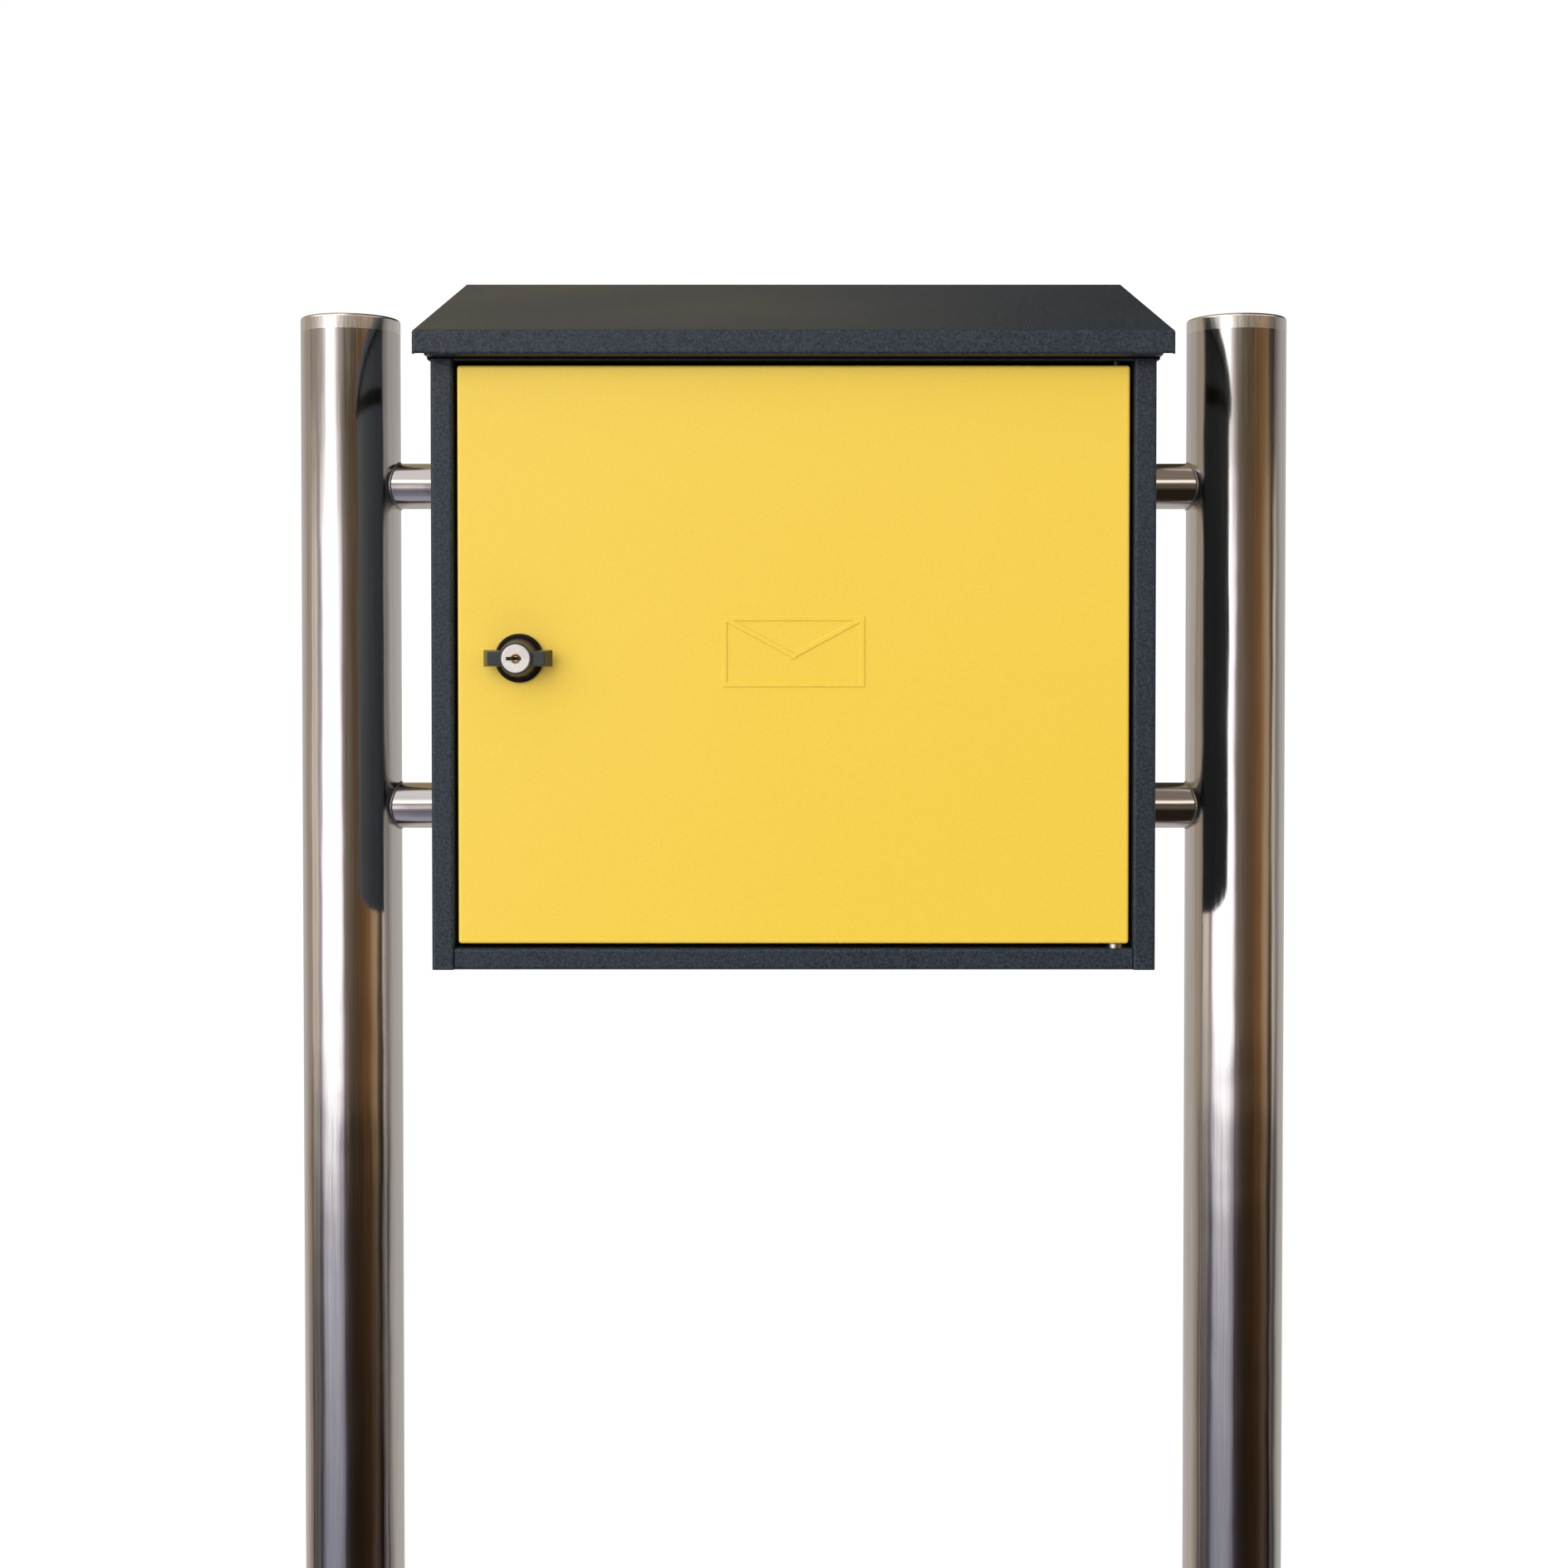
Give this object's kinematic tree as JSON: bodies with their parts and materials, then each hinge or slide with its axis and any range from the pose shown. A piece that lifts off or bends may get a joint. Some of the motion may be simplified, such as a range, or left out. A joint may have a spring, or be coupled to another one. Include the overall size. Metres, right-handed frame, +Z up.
{
  "type": "mailbox",
  "caption": "Locking sheet-steel mailbox with a front door and a sloping lift-up lid over a mail slot, bolted to crossbars between two round floor-flanged posts.",
  "frame": {"origin": "on the floor, midway between the centre lines of the two posts", "axes": "+Z up, front (door) faces -Y, +X to the right when seen from the front"},
  "size_m": [0.705, 0.264, 1.2196],
  "materials": {
    "stainless_tube": "satin-ground lengthwise",
    "stainless_plate": "satin",
    "stainless_fixing": "bright",
    "saddle_plastic": "matt moulded",
    "dark_powder_coat": "fine-textured satin powder coat",
    "yellow_powder_coat": "smooth satin powder coat",
    "rubber": "matt",
    "steel_pin": "turned",
    "blackened_steel": "blackened, oiled",
    "zinc_plate": "zinc plated",
    "black_gloss": "gloss",
    "knob_plastic": "satin moulded",
    "nickel_plate": "nickel plated",
    "brass": "stamped"
  },
  "bodies": {
    "stand": {"post_left": "stainless_tube", "post_right": "stainless_tube", "post_cap_left": "stainless_plate", "post_cap_right": "stainless_plate", "base_flange_left": "stainless_plate", "base_flange_right": "stainless_plate", "crossbar_upper": "stainless_tube", "crossbar_lower": "stainless_tube", "front_saddles": "saddle_plastic", "rear_saddles": "saddle_plastic", "mounting_bolts": "stainless_fixing", "mounting_washers": "stainless_fixing", "cap_nuts": "stainless_fixing", "side_panel_left": "dark_powder_coat", "side_panel_right": "dark_powder_coat", "back_panel": "dark_powder_coat", "bottom_panel": "dark_powder_coat", "slot_deck": "dark_powder_coat", "lid_bumpers": "rubber", "door_buffers": "rubber", "weather_strip": "rubber", "pivot_pins": "blackened_steel", "pivot_washer": "steel_pin", "hinge_leaf_fixed": "zinc_plate", "hinge_pin": "steel_pin", "hinge_rivets": "steel_pin"},
    "lid": {"lid_shell": "dark_powder_coat", "hinge_leaf_lid": "zinc_plate"},
    "door": {"door_skin": "yellow_powder_coat", "lock_housing": "black_gloss", "lock_nut": "zinc_plate"},
    "knob": {"lock_rotor": "nickel_plate", "knob_cap": "knob_plastic", "cam": "zinc_plate", "cam_washer": "zinc_plate", "cam_screw": "zinc_plate"},
    "plug": {"key_plug": "nickel_plate", "lock_wafers": "brass"}
  },
  "joints": [
    {"name": "lid_hinge", "type": "hinge", "parent": "stand", "child": "lid", "pos_m": [0, -0.01485, 1.21456], "axis": [-1, 0, 0], "range_deg": [0, 78]},
    {"name": "door_hinge", "type": "hinge", "parent": "stand", "child": "door", "pos_m": [0.1718, -0.163, 0.9965], "axis": [0, 0, 1], "range_deg": [0, 115]},
    {"name": "knob_turn", "type": "hinge", "parent": "door", "child": "knob", "pos_m": [-0.1453, -0.17, 0.995], "axis": [0, 1, 0], "range_deg": [0, 90]},
    {"name": "key_turn", "type": "hinge", "parent": "knob", "child": "plug", "pos_m": [-0.1453, -0.18, 0.995], "axis": [0, 1, 0], "range_deg": [0, 90]}
  ]
}
